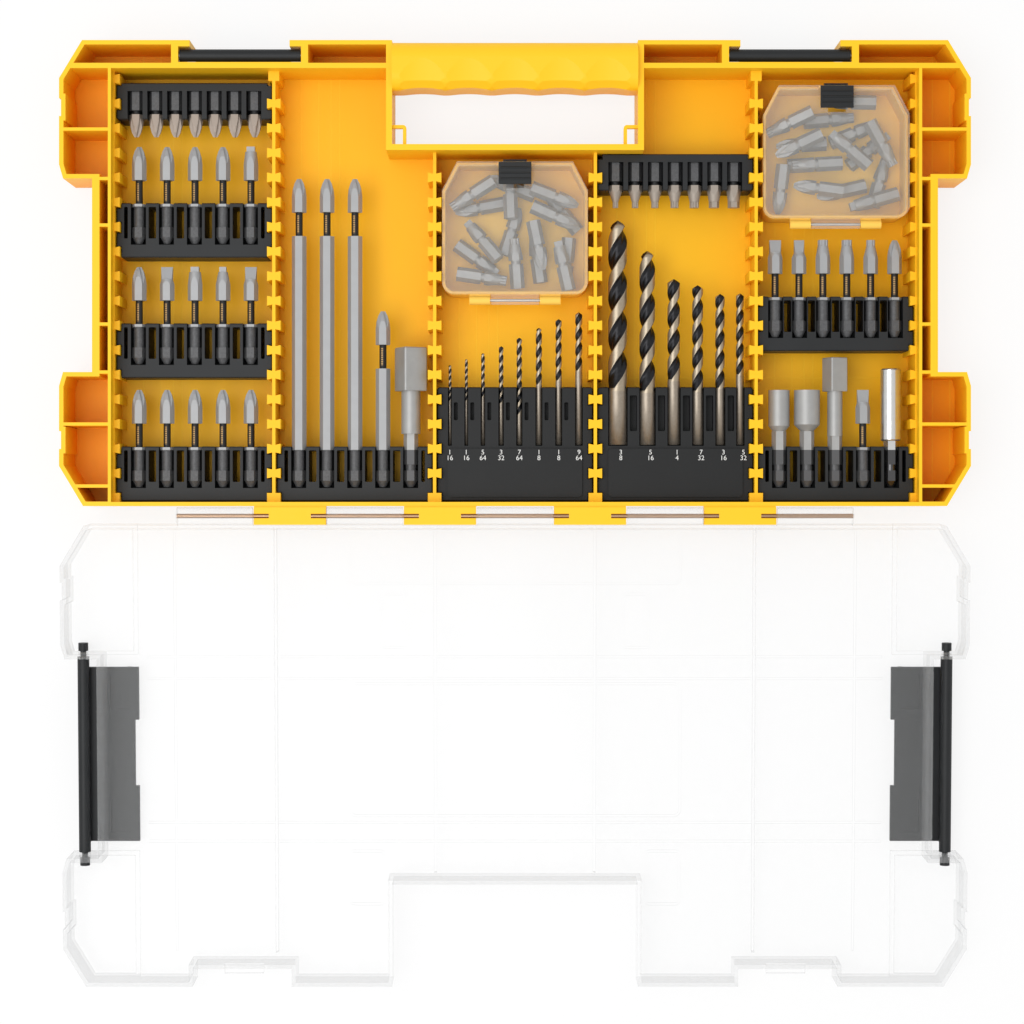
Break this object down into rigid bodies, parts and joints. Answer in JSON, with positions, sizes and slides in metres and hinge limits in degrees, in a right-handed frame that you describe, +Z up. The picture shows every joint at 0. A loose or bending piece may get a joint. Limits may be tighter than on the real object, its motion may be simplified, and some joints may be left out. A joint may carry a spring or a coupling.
{
  "type": "bit set case",
  "caption": "Hinged flat case of screwdriver and drill bits: toothed tray, clear lid, lift-out bars and racks, small lidded boxes, front and side latches, handle.",
  "frame": {"origin": "centre of the tray's flat underside", "axes": "+X to the right along the hinge, +Y from the hinge towards the handle, +Z up"},
  "size_m": [0.456, 0.4757, 0.0406],
  "materials": {
    "yellow_plastic": "satin moulded",
    "clear_plastic": "clear moulded",
    "black_plastic": "fine moulded grain",
    "pin_steel": "drawn",
    "bit_steel": "blasted",
    "tool_steel": "ground",
    "drill_steel": "black and gold oxide",
    "chrome_sleeve": "polished"
  },
  "bodies": {
    "tray": {"tray": "yellow_plastic", "tray_dividers": "yellow_plastic", "hinge_pins": "pin_steel", "front_latch_pins": "pin_steel"},
    "lid": {"lid": "clear_plastic"},
    "front_latch_left": {"front_latch_left": "black_plastic"},
    "front_latch_right": {"front_latch_right": "black_plastic"},
    "side_latch_left": {"side_latch_left": "black_plastic"},
    "side_latch_right": {"side_latch_right": "black_plastic"},
    "insert_bar_left": {"insert_bar_left": "black_plastic", "insert_bits_left": "bit_steel"},
    "insert_bar_right": {"insert_bar_right": "black_plastic", "insert_bits_right": "bit_steel"},
    "power_bar_upper": {"power_bar_upper": "black_plastic", "power_bits_upper": "bit_steel"},
    "power_bar_middle": {"power_bar_middle": "black_plastic", "power_bits_middle": "bit_steel"},
    "power_bar_lower": {"power_bar_lower": "black_plastic", "power_bits_lower": "bit_steel"},
    "power_bar_right": {"power_bar_right": "black_plastic", "power_bits_right": "bit_steel"},
    "long_bar": {"long_bar": "black_plastic", "long_bits": "bit_steel", "reach_bit": "bit_steel", "half_inch_adapter": "tool_steel", "half_inch_ball": "pin_steel"},
    "small_drill_rack": {"small_drill_rack": "black_plastic", "small_drills": "drill_steel"},
    "large_drill_rack": {"large_drill_rack": "black_plastic", "large_drills": "drill_steel"},
    "adapter_bar": {"adapter_bar": "black_plastic", "nut_driver_small": "tool_steel", "nut_driver_large": "tool_steel", "nut_driver_magnets": "pin_steel", "three_eighths_adapter": "tool_steel", "three_eighths_ball": "pin_steel", "slotted_bit": "bit_steel", "bit_holder": "chrome_sleeve", "bit_holder_magnet": "pin_steel"},
    "bit_box_left": {"bit_box_left_base": "yellow_plastic", "bit_box_left_pin": "pin_steel", "bit_box_left_bits": "bit_steel"},
    "bit_box_left_lid": {"bit_box_left_lid": "clear_plastic"},
    "bit_box_left_slider": {"bit_box_left_slider": "black_plastic"},
    "bit_box_right": {"bit_box_right_base": "yellow_plastic", "bit_box_right_pin": "pin_steel", "bit_box_right_bits": "bit_steel"},
    "bit_box_right_lid": {"bit_box_right_lid": "clear_plastic"},
    "bit_box_right_slider": {"bit_box_right_slider": "black_plastic"}
  },
  "joints": [
    {"name": "lid_hinge", "type": "hinge", "parent": "tray", "child": "lid", "pos_m": [0, -0.1215, 0.03617], "axis": [-1, 0, 0], "range_deg": [0, 182.9]},
    {"name": "front_latch_left_pivot", "type": "hinge", "parent": "tray", "child": "front_latch_left", "pos_m": [-0.13775, 0.10945, 0.032], "axis": [1, 0, 0], "range_deg": [0, 180]},
    {"name": "front_latch_right_pivot", "type": "hinge", "parent": "tray", "child": "front_latch_right", "pos_m": [0.13775, 0.10945, 0.032], "axis": [1, 0, 0], "range_deg": [0, 180]},
    {"name": "side_latch_left_pivot", "type": "hinge", "parent": "lid", "child": "side_latch_left", "pos_m": [-0.2195, -0.24295, 0.01233], "axis": [0, 0.9987, 0.0505], "range_deg": [0, 270]},
    {"name": "side_latch_right_pivot", "type": "hinge", "parent": "lid", "child": "side_latch_right", "pos_m": [0.2195, -0.24295, 0.01233], "axis": [0, -0.9987, -0.0505], "range_deg": [0, 270]},
    {"name": "insert_bar_left_lift", "type": "slide", "parent": "tray", "child": "insert_bar_left", "axis": [0, 0, -1], "range_m": [-0.045, 0]},
    {"name": "insert_bar_right_lift", "type": "slide", "parent": "tray", "child": "insert_bar_right", "axis": [0, 0, -1], "range_m": [-0.045, 0]},
    {"name": "power_bar_upper_lift", "type": "slide", "parent": "tray", "child": "power_bar_upper", "axis": [0, 0, -1], "range_m": [-0.045, 0]},
    {"name": "power_bar_middle_lift", "type": "slide", "parent": "tray", "child": "power_bar_middle", "axis": [0, 0, -1], "range_m": [-0.045, 0]},
    {"name": "power_bar_lower_lift", "type": "slide", "parent": "tray", "child": "power_bar_lower", "axis": [0, 0, -1], "range_m": [-0.045, 0]},
    {"name": "power_bar_right_lift", "type": "slide", "parent": "tray", "child": "power_bar_right", "axis": [0, 0, -1], "range_m": [-0.045, 0]},
    {"name": "long_bar_lift", "type": "slide", "parent": "tray", "child": "long_bar", "axis": [0, 0, -1], "range_m": [-0.045, 0]},
    {"name": "small_drill_rack_lift", "type": "slide", "parent": "tray", "child": "small_drill_rack", "axis": [0, 0, -1], "range_m": [-0.045, 0]},
    {"name": "large_drill_rack_lift", "type": "slide", "parent": "tray", "child": "large_drill_rack", "axis": [0, 0, -1], "range_m": [-0.045, 0]},
    {"name": "adapter_bar_lift", "type": "slide", "parent": "tray", "child": "adapter_bar", "axis": [0, 0, -1], "range_m": [-0.045, 0]},
    {"name": "bit_box_left_lift", "type": "slide", "parent": "tray", "child": "bit_box_left", "axis": [0, 0, -1], "range_m": [-0.045, 0]},
    {"name": "bit_box_left_lid_hinge", "type": "hinge", "parent": "bit_box_left", "child": "bit_box_left_lid", "pos_m": [0, -0.0125, 0.02208], "axis": [-1, 0, 0], "range_deg": [-110, 0]},
    {"name": "bit_box_left_slider_lock", "type": "slide", "parent": "bit_box_left_lid", "child": "bit_box_left_slider", "axis": [0, 1, 0], "range_m": [-0.005, 0]},
    {"name": "bit_box_right_lift", "type": "slide", "parent": "tray", "child": "bit_box_right", "axis": [0, 0, -1], "range_m": [-0.045, 0]},
    {"name": "bit_box_right_lid_hinge", "type": "hinge", "parent": "bit_box_right", "child": "bit_box_right_lid", "pos_m": [0.162, 0.0259, 0.02208], "axis": [-1, 0, 0], "range_deg": [-110, 0]},
    {"name": "bit_box_right_slider_lock", "type": "slide", "parent": "bit_box_right_lid", "child": "bit_box_right_slider", "axis": [0, 1, 0], "range_m": [-0.005, 0]}
  ]
}
